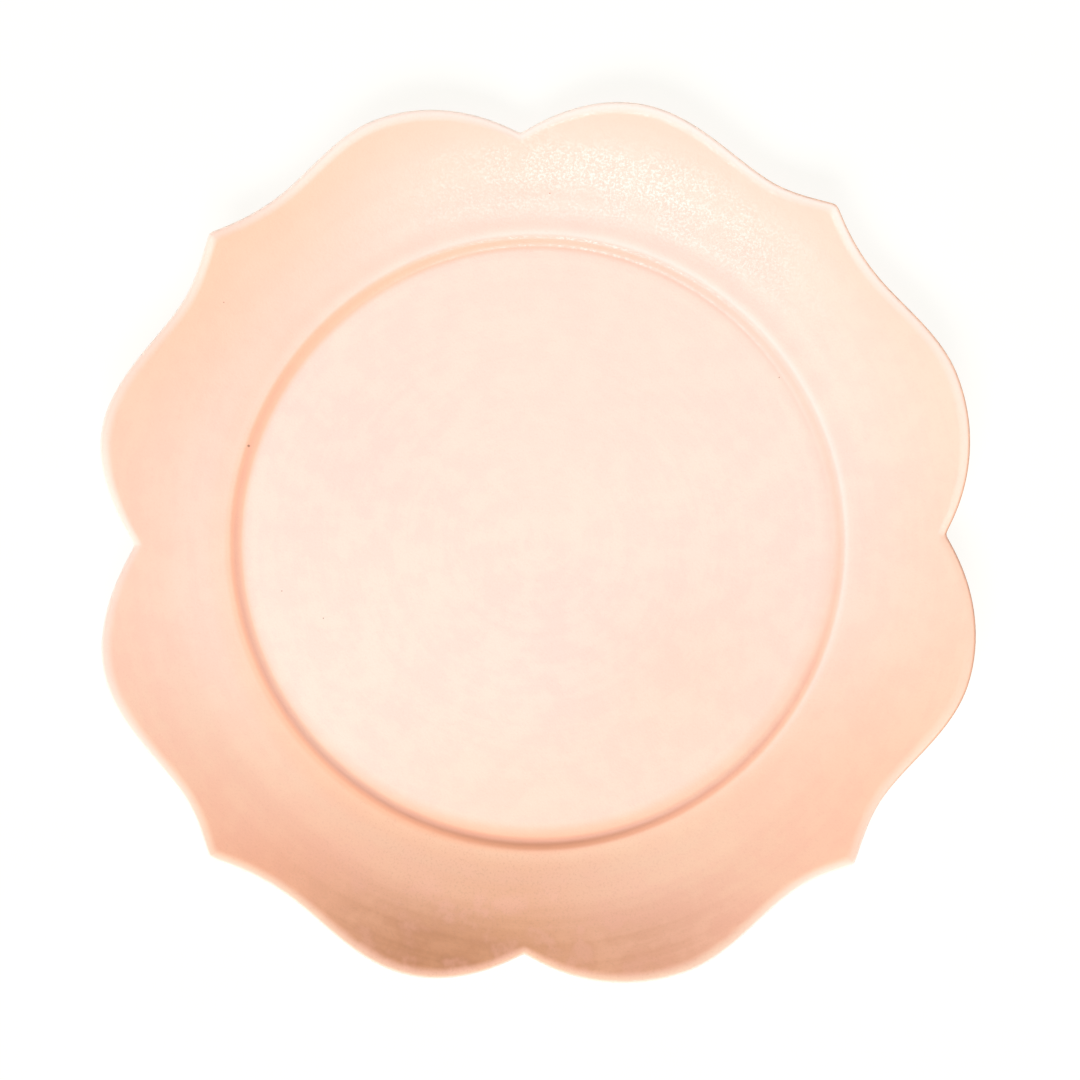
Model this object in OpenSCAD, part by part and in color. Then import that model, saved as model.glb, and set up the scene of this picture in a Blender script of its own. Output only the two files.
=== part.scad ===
// Scalloped dessert plate: a thrown and trimmed stoneware body under one coat of glaze.
// The origin is on the plane that the plate stands on, below the centre of the well.

/* [Scalloped edge] */
// Number of lobe pairs around the rim
pairs = 4; // [3:1:6]
// Radius at the crown of a lobe, over the glaze
crown_r = 105.6; // [95:0.1:140]
// Radius at a notch, where the two lobes of a pair meet
notch_r = 95.8; // [84:0.1:110]
// Radius at a waist, the hollow between a lobe and a point
waist_r = 101; // [88:0.1:130]
// Radius at a point, where two pairs meet
point_r = 105.6; // [92:0.1:140]
// Angle between the edge and the circle round the plate beside a notch
notch_lean = 30; // [5:1:45]
// Angle between the edge and the circle round the plate beside a point
point_lean = 27; // [5:1:45]
// How much of the unevenness of hand cutting shows
hand_cut = 1; // [0:0.1:2]

/* [Well and rim] */
// Radius of the flat floor of the well
well_r = 69.6; // [50:0.1:74]
// Height of the step from the floor up to the start of the rim
step_h = 1.35; // [0.8:0.05:3]
// Radius of the hollow at the foot of the step
step_hollow_r = 3.4; // [1.5:0.1:5]
// Radius of the rounded crest on top of the step
step_crest_r = 2.8; // [0.8:0.1:4]
// Slope of the rim where it starts at the crest
rim_start_slope = 6; // [0:1:14]
// Slope of the rim at the crown of a lobe
rim_end_slope = 33; // [16:1:45]

/* [Wall] */
// Thickness of the clay under the well
floor_t = 4.6; // [3.6:0.1:8]
// Thickness of the clay where the rim starts
rim_t = 4.4; // [3.2:0.1:5.4]
// Thickness of the clay at the lip
lip_t = 3; // [2.6:0.1:5]

/* [Lip] */
// Radius at which the top of the rim rolls over before its edge
lip_roll_r = 4.5; // [2:0.1:6]
// Slope at which the rolled top meets its edge
lip_end_slope = 4; // [0:1:8]
// Radius of the upper edge of the lip
lip_upper_r = 0.5; // [0.3:0.1:0.8]
// Radius of the lower edge of the lip
lip_lower_r = 0.9; // [0.4:0.1:1.2]

/* [Foot ring] */
// Distance from the edge of the well floor in to the outside of the foot ring
foot_inset = 3.6; // [2:0.1:30]
// Width of the foot ring
foot_w = 5; // [3:0.1:9]
// Height of the foot ring below the base
foot_h = 2.2; // [1.2:0.1:5]
// Radius of the two sponged edges of the foot ring
foot_round_r = 0.8; // [0.3:0.1:1.2]
// Width of the flat ledge that trimming leaves outside the foot ring
foot_ledge = 2; // [1:0.1:4]

/* [Glaze] */
// Thickness of the glaze
glaze_t = 0.35; // [0.15:0.05:0.8]
// Bare line that the sponge leaves between the glaze and the foot ring
wiped_gap = 0.05; // [0.02:0.01:0.5]

/* [Hidden] */
$fn = 96;

// Facets of the edge from a notch to a crown, a crown to a waist and a waist to a point
notch_steps = 6;
waist_steps = 5;
point_steps = 3;
// Facets of the section across the hollow, the crest, the rim, the roll, the two edges and the back
hollow_steps = 3;
crest_steps = 2;
rim_steps = 4;
roll_steps = 2;
upper_steps = 2;
lower_steps = 2;
back_steps = 3;
// Widths of the roll and of the underside's run to its edge, near enough to read the rim's slope there,
// as shares of the roll's radius and of the lip's thickness
roll_width_share = 0.5;
under_width_share = 0.4;

// Hand cutting moves each notch and point along the edge, as a share of a lobe's width
notch_turn_shares = [0.005, 0.03, -0.01, -0.06];
point_turn_shares = [0.055, 0.015, -0.045, -0.03];
// It also moves them in or out, as a share of their radius
notch_reach_shares = [0, 0.002, -0.014, 0.007];
point_reach_shares = [0, -0.002, 0.005, 0];
// The crown and the waist of each lobe lie at these shares of the way from notch to point
crown_place_shares = [0.44, 0.39, 0.425, 0.375, 0.415, 0.37, 0.445, 0.42];
waist_place_shares = [0.79, 0.795, 0.78, 0.78, 0.805, 0.755, 0.815, 0.8];
even_crown_share = 0.41;
even_waist_share = 0.79;
// In or out by these shares of the radius
crown_reach_shares = [0, -0.003, 0, -0.005, 0.001, -0.001, 0.005, 0.003];
waist_reach_shares = [0.002, -0.003, 0.001, -0.007, 0.007, 0.002, 0.003, -0.004];

// Width of one lobe as an angle
lobe_turn = 180 / pairs;
// Level of the clay on the base and on the floor of the well
base_z = foot_h;
floor_z = foot_h + floor_t;
// Outer and inner radius of the foot ring
foot_r = well_r - foot_inset;
foot_bore_r = foot_r - foot_w;
// The foot ring is rooted this deep in the body
foot_root = floor_t / 3;
// Steepest slope of the step, where its hollow turns into its crest
step_slope = acos(
    (step_hollow_r + step_crest_r * cos(rim_start_slope) - step_h) / (step_hollow_r + step_crest_r)
);
// Centres of the two arcs of the step
hollow_centre = [well_r, floor_z + step_hollow_r];
crest_centre = hollow_centre + (step_hollow_r + step_crest_r) * [sin(step_slope), -cos(step_slope)];
// Where the crest runs out into the rim
rim_start = crest_centre + step_crest_r * [-sin(rim_start_slope), cos(rim_start_slope)];
// How fast the slope of the rim grows with the radius
rim_curl = (tan(rim_end_slope) - tan(rim_start_slope)) / (2 * (crown_r - rim_start.x));

// Edge seen from above

// A value of a list that starts again at its end
function from_cycle(list, index) = list[index % len(list)];
// The value at a share of the way between two values
function between(start, end, share) = start + (end - start) * share;
// Direction of a notch and of the point that follows it
function notch_turn(i) =
    lobe_turn * (2 * i + hand_cut * from_cycle(notch_turn_shares, i % pairs));
function point_turn(i) =
    lobe_turn * (2 * i + 1 + hand_cut * from_cycle(point_turn_shares, i % pairs));
// A radius moved in or out by the cutter's hand
function cut_reach(radius, list, index) = radius * (1 + hand_cut * from_cycle(list, index));
// A mark is a direction, a radius, the lean of the edge beside it and the facets up to the next mark
function notch_mark(i, steps) =
    [notch_turn(i), cut_reach(notch_r, notch_reach_shares, i % pairs), notch_lean, steps];
function point_mark(i, steps) =
    [point_turn(i), cut_reach(point_r, point_reach_shares, i % pairs), -point_lean, steps];
function crown_mark(notch, point, lobe, steps) = [
    between(notch, point, between(even_crown_share, from_cycle(crown_place_shares, lobe), hand_cut)),
    cut_reach(crown_r, crown_reach_shares, lobe),
    0,
    steps
];
function waist_mark(notch, point, lobe, steps) = [
    between(notch, point, between(even_waist_share, from_cycle(waist_place_shares, lobe), hand_cut)),
    cut_reach(waist_r, waist_reach_shares, lobe),
    0,
    steps
];
// The marks of one pair of lobes, anticlockwise from its notch
function pair_marks(i) = [
    notch_mark(i, notch_steps),
    crown_mark(notch_turn(i), point_turn(i), 2 * i, waist_steps),
    waist_mark(notch_turn(i), point_turn(i), 2 * i, point_steps),
    point_mark(i, point_steps),
    waist_mark(notch_turn(i + 1), point_turn(i), 2 * i + 1, waist_steps),
    crown_mark(notch_turn(i + 1), point_turn(i), 2 * i + 1, notch_steps)
];
marks = [for (i = [0:pairs]) each (i < pairs ? pair_marks(i) : [notch_mark(i, 0)])];
// A smooth curve from one radius to another that leaves and arrives at set rates
function glide(start, end, leaving, arriving, t) =
    start * (2 * t ^ 3 - 3 * t ^ 2 + 1) + leaving * (t ^ 3 - 2 * t ^ 2 + t)
    + end * (3 * t ^ 2 - 2 * t ^ 3) + arriving * (t ^ 3 - t ^ 2);
// Change of radius over a span beside a mark, for the lean of the edge there
function edge_rate(mark, span) = mark[1] * tan(mark[2]) * span * PI / 180;
// Directions round the plate, each with the radius of the glazed edge
edge = [
    for (m = [0:len(marks) - 2])
        let (here = marks[m], next = marks[m + 1], span = next[0] - here[0])
            for (s = [0:here[3] - 1])
                let (t = s / here[3])
                    [
                        here[0] + span * t,
                        glide(here[1], next[1], edge_rate(here, span), -edge_rate(next, span), t)
                    ]
];

// Section from the well to the foot

// Height and slope of the top of the clay rim at a radius
function rim_height(r) =
    rim_start.y + tan(rim_start_slope) * (r - rim_start.x) + rim_curl * (r - rim_start.x) ^ 2;
function rim_slope(r) = atan(tan(rim_start_slope) + 2 * rim_curl * (r - rim_start.x));
// A point square off the top of the clay rim: outwards for the glaze, inwards for the back
function off_rim(r, distance) =
    [r, rim_height(r)] + distance * [-sin(rim_slope(r)), cos(rim_slope(r))];
// A point on an arc
function on_arc(centre, radius, angle) = centre + radius * [cos(angle), sin(angle)];
// Where the top of the rim starts to roll over, for a clay edge of a given radius
function roll_start(reach) =
    let (slope = rim_slope(reach - lip_upper_r - lip_roll_r * roll_width_share))
    reach - lip_upper_r * (1 + sin(lip_end_slope)) - lip_roll_r * (sin(slope) - sin(lip_end_slope));
// Where the lower edge of the lip runs into the back
function back_start(reach) =
    let (slope = rim_slope(reach - lip_lower_r - lip_t * under_width_share))
    reach - lip_lower_r - (lip_t - lip_lower_r) * sin(slope);
// Clay thickness at a share of the way from the crest to the lip
function wall_at(share) = between(rim_t, lip_t, share);
// The section of the clay for coat 0, and the face of a coat of glaze over it otherwise
function section(reach, coat) =
    let (
        top_r = roll_start(reach),
        roll_centre = off_rim(top_r, -lip_roll_r),
        upper_centre = on_arc(roll_centre, lip_roll_r - lip_upper_r, lip_end_slope + 90),
        back_r = back_start(reach),
        lower_centre = off_rim(back_r, lip_lower_r - lip_t)
    )
    concat(
        [for (i = [0:hollow_steps])
            on_arc(hollow_centre, step_hollow_r - coat, step_slope * i / hollow_steps - 90)],
        [for (i = [1:crest_steps])
            on_arc(
                crest_centre,
                step_crest_r + coat,
                90 + between(step_slope, rim_start_slope, i / crest_steps)
            )],
        [for (i = [1:rim_steps]) off_rim(between(rim_start.x, top_r, i / rim_steps), coat)],
        [for (i = [1:roll_steps])
            on_arc(
                roll_centre,
                lip_roll_r + coat,
                90 + between(rim_slope(top_r), lip_end_slope, i / roll_steps)
            )],
        [for (i = [1:upper_steps])
            on_arc(upper_centre, lip_upper_r + coat, (90 + lip_end_slope) * (1 - i / upper_steps))],
        [for (i = [0:lower_steps])
            on_arc(lower_centre, lip_lower_r + coat, (rim_slope(back_r) - 90) * i / lower_steps)],
        [for (i = [1:back_steps])
            let (share = 1 - i / back_steps)
                off_rim(between(rim_start.x, back_r, share), -wall_at(share) - coat)],
        [[foot_r + foot_ledge, base_z - coat]]
    );
// Number of points in a section
section_rows = len(section(crown_r, 0));
// The glaze ends as a thin band beside the foot ring
function glaze_end(coat) = [foot_r + wiped_gap, base_z - coat];
function reversed(list) = [for (i = [len(list) - 1:-1:0]) list[i]];
// The closed skin of the glaze, out over its face and back in along the clay
function glaze_section(reach) = concat(
    section(reach, glaze_t),
    [glaze_end(glaze_t), glaze_end(0)],
    reversed(section(reach, 0))
);

// A closed skin from one pole on the axis to another, through one section for each direction.
// Past the row where it turns back, its facets are split the other way, so that the inside of
// the glaze lies on the facets of the clay.
module loft(sections, first_z, last_z, turn_back) {
    turns = len(edge);
    rows = len(sections[0]);
    last = turns * rows + 1;
    points = concat(
        [for (k = [0:turns - 1])
            each [for (p = sections[k]) [p.x * cos(edge[k][0]), p.x * sin(edge[k][0]), p.y]]],
        [[0, 0, first_z], [0, 0, last_z]]
    );
    faces = [
        for (k = [0:turns - 1])
            let (here = k * rows, next = (k + 1) % turns * rows)
                each concat(
                    [[last - 1, next, here]],
                    [for (j = [0:rows - 2])
                        [here + j, next + j + (j < turn_back ? 1 : 0), here + j + 1]],
                    [for (j = [0:rows - 2])
                        [here + j + (j < turn_back ? 0 : 1), next + j, next + j + 1]],
                    [[last, here + rows - 1, next + rows - 1]]
                )
    ];
    polyhedron(points, faces, convexity = 6);
}

// Foot ring with its two lower edges sponged round
module foot_ring() {
    rotate_extrude() {
        translate([foot_bore_r, foot_round_r])
            square([foot_w, foot_h + foot_root - foot_round_r]);
        translate([foot_bore_r + foot_round_r, 0])
            square([foot_w - 2 * foot_round_r, foot_h]);
        for (r = [foot_bore_r + foot_round_r, foot_r - foot_round_r])
            translate([r, foot_round_r])
                circle(r = foot_round_r);
    }
}

// The stoneware body: well, step, rising rim, rolled scalloped lip and foot ring in one clay
module clay_body() {
    color("#e9dcc6")
        union() {
            loft([for (e = edge) section(e[1] - glaze_t, 0)], floor_z, base_z, section_rows);
            foot_ring();
        }
}

// The glaze over the face, round the lip and down the back to the foot ring
module glaze_coat() {
    color("#fcd9c4")
        loft(
            [for (e = edge) glaze_section(e[1] - glaze_t)],
            floor_z + glaze_t,
            floor_z,
            section_rows
        );
}

// The patch of glaze on the base, inside the foot ring
module base_glaze() {
    color("#fcd9c4")
        translate([0, 0, base_z - glaze_t])
            cylinder(r = foot_bore_r - wiped_gap, h = glaze_t);
}

clay_body();
glaze_coat();
base_glaze();
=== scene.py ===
# %% [markdown]
# # Scalloped dessert plate
#
# The plate was thrown in stoneware, cut to eight lobes and dipped in a pale peach glaze. The exact solids
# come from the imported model. This lesson gives them the soft forms and the fired surface that solids lack:
# a finer scalloped edge, glaze that pools and thins, faint throwing rings and a bare, sanded foot ring.

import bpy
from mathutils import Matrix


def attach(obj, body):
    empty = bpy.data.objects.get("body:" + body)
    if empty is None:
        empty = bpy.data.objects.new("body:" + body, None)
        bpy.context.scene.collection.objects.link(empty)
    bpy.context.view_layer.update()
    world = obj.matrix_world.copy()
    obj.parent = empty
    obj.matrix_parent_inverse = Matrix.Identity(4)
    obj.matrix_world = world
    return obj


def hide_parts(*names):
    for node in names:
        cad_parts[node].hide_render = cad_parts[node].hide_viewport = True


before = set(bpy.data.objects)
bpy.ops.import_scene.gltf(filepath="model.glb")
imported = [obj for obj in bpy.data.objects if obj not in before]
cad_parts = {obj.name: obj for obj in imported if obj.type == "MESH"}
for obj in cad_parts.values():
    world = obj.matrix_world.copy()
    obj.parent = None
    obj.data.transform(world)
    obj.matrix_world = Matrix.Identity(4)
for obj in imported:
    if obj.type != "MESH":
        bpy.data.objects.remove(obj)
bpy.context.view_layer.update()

import math

import bmesh
import bpy

MM = 0.001

# %% [markdown]
# ## The camera
#
# The plate was photographed from straight above, from a little under a metre. The camera is set first,
# because everything after it is judged through it. A lens of 115 mm on a 36 mm sensor sees 251 mm at the
# height of the lip. The plate was laid down a degree off square, so the camera is turned by that degree.

# %% Camera above the plate
LIP_LEVEL = 20 * MM
CAMERA_RISE = 800 * MM
LENS_LENGTH = 114.6
SENSOR_WIDTH = 36.0
PHOTO_TURN = math.radians(-0.93)
PHOTO_SHIFT = (0.72 * MM, 0.58 * MM)


def new_object(name, data):
    """A new object in the scene, for a camera, a lamp or a mesh."""
    made = bpy.data.objects.new(name, data)
    bpy.context.scene.collection.objects.link(made)
    return made


lens = bpy.data.cameras.new("camera_above")
lens.sensor_width = SENSOR_WIDTH
lens.lens = LENS_LENGTH
lens.clip_start = 0.01
camera = new_object("camera_above", lens)
across = (math.cos(PHOTO_TURN), math.sin(PHOTO_TURN))
camera.location = (
    PHOTO_SHIFT[0] * across[0] - PHOTO_SHIFT[1] * across[1],
    PHOTO_SHIFT[0] * across[1] + PHOTO_SHIFT[1] * across[0],
    LIP_LEVEL + CAMERA_RISE,
)
camera.rotation_euler = (0.0, 0.0, PHOTO_TURN)
bpy.context.scene.camera = camera
print("camera at", tuple(camera.location))

# %% [markdown]
# ## Sums with sockets
#
# Both the shape of this plate and its glaze are worked out by nodes. A long sum is hard to read as nodes
# and easy to read as an expression. So a small class wraps one socket: a sum that is written with it adds
# the Math node, or the Vector Math node where a vector is in it. Its method `node` adds any other node.

# %% A socket that takes part in sums
class Wire:
    """One socket of a node tree. A sum written with it adds the node that works it out."""

    def __init__(self, tree, socket=None):
        self.tree = tree
        self.socket = socket

    def node(self, kind, settings=None, values=None, out=0):
        """Adds a node: its settings, then a value or a wire for each input. Gives one of its outputs."""
        made = self.tree.nodes.new(kind)
        for name, setting in (settings or {}).items():
            setattr(made, name, setting)
        for name, value in (values or {}).items():
            if isinstance(value, Wire):
                self.tree.links.new(value.socket, made.inputs[name])
            else:
                made.inputs[name].default_value = value
        return Wire(self.tree, made.outputs[out] if made.outputs else None)

    def also(self, name):
        """Another output of the node that this wire comes from."""
        return Wire(self.tree, self.socket.node.outputs[name])

    def sum(self, operation, first, second):
        """Adds a Math node, or a Vector Math node where one of the two is a vector."""
        pair = (first, second)
        vectors = [isinstance(v, tuple) or (isinstance(v, Wire) and v.socket.type == "VECTOR") for v in pair]
        kind = "ShaderNodeVectorMath" if any(vectors) else "ShaderNodeMath"
        if any(vectors) and not all(vectors):
            vector, number = pair if vectors[0] else pair[::-1]
            return self.node(kind, {"operation": "SCALE"}, {0: vector, "Scale": number})
        return self.node(kind, {"operation": operation}, {0: first, 1: second})

    def apply(self, operation, second=0.0):
        """One function of a number, such as SINE, or one of two numbers, such as MODULO."""
        return self.node("ShaderNodeMath", {"operation": operation}, {0: self, 1: second})

    def measure(self, operation, other=(0.0, 0.0, 0.0)):
        """A number that is measured on a vector, such as LENGTH, or between two, such as DISTANCE."""
        return self.node("ShaderNodeVectorMath", {"operation": operation}, {0: self, 1: other}, out="Value")

    def unit(self):
        """The vector of length 1 that points the same way as this one."""
        return self.node("ShaderNodeVectorMath", {"operation": "NORMALIZE"}, {0: self})

    def rise(self, low, high):
        """A soft step from 0 at low to 1 at high, or from 1 to 0 where low is the larger."""
        values = {"Value": self, "From Min": low, "From Max": high}
        return self.node("ShaderNodeMapRange", {"interpolation_type": "SMOOTHSTEP"}, values)

    def clamp(self):
        """This number, held between 0 and 1."""
        return self.node("ShaderNodeClamp", None, {"Value": self})


def sign(operation, turned=False):
    """A method of Wire for one sign. It is turned for the forms where the wire stands on the right."""
    return lambda wire, other: wire.sum(operation, *((other, wire) if turned else (wire, other)))


Wire.__add__, Wire.__radd__ = sign("ADD"), sign("ADD", True)
Wire.__sub__, Wire.__rsub__ = sign("SUBTRACT"), sign("SUBTRACT", True)
Wire.__mul__, Wire.__rmul__ = sign("MULTIPLY"), sign("MULTIPLY", True)
Wire.__truediv__, Wire.__gt__ = sign("DIVIDE"), sign("GREATER_THAN")


def between(start, end, share):
    """The value at a share of the way from start to end, for numbers and for wires."""
    return start + (end - start) * share


def vector(x, y, z):
    """A vector made of three numbers, of which at least one is a wire."""
    wire = next(part for part in (x, y, z) if isinstance(part, Wire))
    return wire.node("ShaderNodeCombineXYZ", None, {0: x, 1: y, 2: z})


print("sums with sockets are ready")

# %% [markdown]
# ## The scalloped edge, seen from above
#
# The potter cut the edge by eye into four pairs of lobes. An inward notch parts the two lobes of a pair,
# and an outward point parts two pairs. The edge could be drawn as a Bezier curve, but its handles say
# little about a plate. Here it is a list of marks round the plate, each a direction, a radius and a kind.

# %% Marks round the edge
EDGE_MARKS = [
    ("notch", 0.225, 95.80), ("crown", 21.015, 105.60), ("waist", 37.552, 101.20),
    ("point", 47.475, 105.60), ("waist", 56.469, 100.70), ("crown", 74.239, 105.28),
    ("notch", 91.350, 95.99), ("crown", 110.188, 105.60), ("waist", 125.924, 101.10),
    ("point", 135.675, 105.39), ("waist", 145.328, 100.29), ("crown", 163.097, 105.07),
    ("notch", 179.550, 94.46), ("crown", 197.571, 105.71), ("waist", 214.507, 101.71),
    ("point", 222.975, 106.13), ("waist", 233.835, 101.20), ("crown", 250.900, 105.49),
    ("notch", 267.300, 96.47), ("crown", 287.926, 106.13), ("waist", 305.075, 101.30),
    ("point", 313.650, 105.60), ("waist", 322.965, 100.60), ("crown", 340.663, 105.92),
]
LEANS = {"notch": 30.0, "crown": 0.0, "waist": 0.0, "point": -27.0}
STEPS = {"notchcrown": 26, "crownwaist": 18, "waistpoint": 14}
# How far the sponge softened each sharp corner along the edge
SOFTENED = {"notch": 0.55, "point": 0.7}
# How much the points crowd together beside a sharp corner
CROWDING = 1.6
print(len(EDGE_MARKS), "marks, of which", sum(kind == "notch" for kind, _, _ in EDGE_MARKS), "are notches")

# %% [markdown]
# ### From mark to mark
#
# Between two marks the edge is a cubic curve, which leaves one and arrives at the next with the lean that
# its kind has. After the cut, a wet sponge rounds each notch and point a little. A root of squares does
# the same: it changes nothing far from the corner, and turns the corner itself into a small bow.

# %% The edge in numbers
def glide(start, end, leaving, arriving, t):
    """A smooth curve from one radius to another that leaves and arrives at set rates."""
    return (
        start * (2 * t**3 - 3 * t**2 + 1)
        + leaving * (t**3 - 2 * t**2 + t)
        + end * (3 * t**2 - 2 * t**3)
        + arriving * (t**3 - t**2)
    )


def softened(reach, sharp, away):
    """The radius beside a notch or a point after the sponge, away millimetres along the edge from it."""
    lean = math.tan(math.radians(LEANS[sharp]))
    return reach + lean * (math.hypot(away, SOFTENED[sharp]) - abs(away))


def edge_line():
    """Directions and radii of the glazed edge, anticlockwise, in radians and millimetres."""
    line = []
    for k, (kind, turn, radius) in enumerate(EDGE_MARKS):
        next_kind, next_turn, next_radius = EDGE_MARKS[(k + 1) % len(EDGE_MARKS)]
        span = (next_turn - turn) % 360.0
        outward = kind + next_kind in STEPS
        steps = STEPS[kind + next_kind if outward else next_kind + kind]
        leaving = radius * math.tan(math.radians(LEANS[kind])) * math.radians(span)
        arriving = -next_radius * math.tan(math.radians(LEANS[next_kind])) * math.radians(span)
        for s in range(steps):
            t = s / steps
            if kind in SOFTENED:
                t = t**CROWDING
            if next_kind in SOFTENED:
                t = 1 - (1 - t) ** CROWDING
            reach = glide(radius, next_radius, leaving, arriving, t)
            along = math.radians(span) * radius
            if kind in SOFTENED:
                reach = softened(reach, kind, along * t)
            if next_kind in SOFTENED:
                reach = softened(reach, next_kind, along * (1 - t))
            line.append((math.radians(turn + span * t), reach))
    return line


# The solids have flats between their directions, so this finer edge is held in by a hair
HELD_IN = 0.03
edge = [(turn, reach - HELD_IN) for turn, reach in edge_line()]
reaches = [round(reach, 2) for _, reach in edge]
print(len(edge), "directions, with the edge at", min(reaches), "to", max(reaches), "mm")

# %% [markdown]
# ### The edge as a guide
#
# Geometry Nodes read a path from a mesh, so the edge becomes a ring of points joined by lines. It is only
# a guide, as a template is to a potter, and it isn't in the finished plate.

# %% The edge as a line of points
edge_mesh = bpy.data.meshes.new("scalloped_edge_line")
edge_points = [(r * MM * math.cos(a), r * MM * math.sin(a), 0.0) for a, r in edge]
edge_mesh.from_pydata(edge_points, [(i, (i + 1) % len(edge)) for i in range(len(edge))], [])
print("edge line of", len(edge_mesh.vertices), "points")

# %% [markdown]
# ## The section of the plate
#
# A plate is turned, so one section says all of it: the flat well, the hollow and the crest of the step,
# the rim that rises more and more, the lip that is rounded all the way over, and the back down to the
# foot. The rim is cut where the edge line says, so the lip is high on a lobe and low in a notch. A lathe
# modifier can't do that, because its section is the same in every direction. The section is a rule
# instead: for a row number and a reach it gives a radius and a height.

# %% Sizes of the section
SIZES = {
    "Well radius": 69.6 * MM,
    "Floor level": 6.8 * MM,
    "Base level": 2.2 * MM,
    "Step height": 1.35 * MM,
    "Step hollow radius": 3.4 * MM,
    "Step crest radius": 2.8 * MM,
    "Rim start slope": math.radians(6.0),
    "Rim end slope": math.radians(33.0),
    "Crown radius": 105.6 * MM,
    "Wall at the step": 4.4 * MM,
    "Wall at the lip": 3.0 * MM,
    "Lip roll radius": 4.5 * MM,
    "Lip roll end slope": math.radians(4.0),
    "Lip upper edge radius": 0.5 * MM,
    "Lip lower edge radius": 0.9 * MM,
    "Foot radius": 66.0 * MM,
    "Foot width": 5.0 * MM,
    "Foot rounding": 0.8 * MM,
    "Foot ledge": 2.0 * MM,
    "Glaze thickness": 0.35 * MM,
    "Sponged line": 0.05 * MM,
    "Sponge wander": 0.5 * MM,
    "Throwing ring height": 0.16,
    "Throwing ring spacing": 9.5 * MM,
}
# Rows of points across each part of the section
ROWS = {
    "well": 10, "brink": 8, "hollow": 8, "crest": 8, "rim": 24, "roll": 8,
    "edge": 8, "cut": 2, "under": 8, "back": 14, "cove": 6,
}
FACE_ROWS = sum(ROWS.values())
print(FACE_ROWS, "rows from the middle of the well to the foot")

# %% [markdown]
# ### Rows, arcs and parts
#
# The number of a row says where it is in the section. `share_of` turns it into how far the row is across
# one part, `on_arc` gives a place on a rounding, and `pick` chooses the place of the row's own part. With
# these the rule further down can be read like a drawing.

# %% Rows, arcs and parts
QUARTER = math.pi / 2


def share_of(row, part, parts=ROWS, before=0):
    """How far a row is across one part of a section, from 0 before it to 1 after it."""
    names = list(parts)
    first = before + sum(parts[name] for name in names[: names.index(part)])
    return ((row - first) / parts[part]).clamp()


def ends_of(parts, before=0):
    """The number of the last row of each part, in order."""
    ends = []
    for count in parts.values():
        before += count
        ends.append(before)
    return ends


def on_arc(centre, radius, angle):
    """A point of the section on an arc."""
    return centre + vector(angle.apply("COSINE"), 0.0, angle.apply("SINE")) * radius


def pick(row, places):
    """The place of the part that a row is in. places holds (last row, place), in order."""
    chosen = places[-1][1]
    for last, place in reversed(places[:-1]):
        values = {0: row > last + 0.5, 1: place, 2: chosen}
        chosen = row.node("GeometryNodeSwitch", {"input_type": "VECTOR"}, values)
    return chosen


print("the parts end at rows", ends_of(ROWS))

# %% [markdown]
# ### How thick the glaze lies
#
# The glaze isn't even. It ran down into the hollow of the step while it was molten, and crept away from
# the crest and the lip. The rings that the fingers left in the rim show through it. The coat could be
# sculpted, but it follows the section everywhere, so each of these is a rule along the section. The masks
# also stay on the mesh, for the finish to follow.

# %% How thick the glaze lies
def glaze_masks(row):
    """Where the glaze pools in the step, breaks over the crest and thins on the lip, each 0 to 1."""
    rim = share_of(row, "rim")
    brink = share_of(row, "brink")
    crest = share_of(row, "crest")
    return {
        "pool": (brink + share_of(row, "hollow")).rise(0.6, 1.25) * crest.rise(0.95, 0.35),
        "crest": crest.rise(0.55, 1.0) * rim.rise(0.045, 0.0),
        "lip": share_of(row, "roll").rise(0.0, 1.0) * share_of(row, "under").rise(1.0, 0.3),
        "rim": rim,
        "edge": share_of(row, "edge").rise(0.1, 0.7) * share_of(row, "cut").rise(1.0, 0.0),
        "back": share_of(row, "back").rise(0.0, 0.3),
    }


# One of the throwing rings stands highest at this radius
RING_TOP = 81.4 * MM


def throwing_rings(size, row, radius, direction):
    """The wave of the throwing rings across the rim, from -1 to 1, which wanders round the plate."""
    wander = direction.node("ShaderNodeTexNoise", None, {"Vector": direction, "Scale": 1.7, "Detail": 1.0})
    turns = (radius - RING_TOP) / size("Throwing ring spacing") + (wander - 0.5) * 0.5
    rim = share_of(row, "rim")
    return (turns * (2 * math.pi)).apply("COSINE") * rim.rise(0.0, 0.14) * rim.rise(0.95, 0.6)


def uneven_coat(size, row, coat, along_rim, direction, masks):
    """The thickness of the coat at a row, from the thickness that it has where it lies even."""
    rings = throwing_rings(size, row, along_rim, direction) * size("Throwing ring height")
    filled = share_of(row, "hollow").rise(0.1, 1.0) * share_of(row, "crest").rise(1.0, 0.0)
    return coat * (1.0 + rings + filled * 0.45 - masks["crest"] * 0.05 - masks["lip"] * 0.2)


print("rings every", SIZES["Throwing ring spacing"] / MM, "mm")

# %% [markdown]
# ### The face of the plate
#
# The step is two arcs that meet with one slope: the hollow beside the well, and the crest above it. From
# the crest the rim is a parabola, so its slope grows evenly, from 6 degrees at the step to 33 degrees at a
# crown. Walls are measured square to the surface, which is what `off_rim` does.

# %% The face of the plate
# Width of the last part of the well, where the glaze begins to gather
BRINK = 7 * MM


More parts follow.
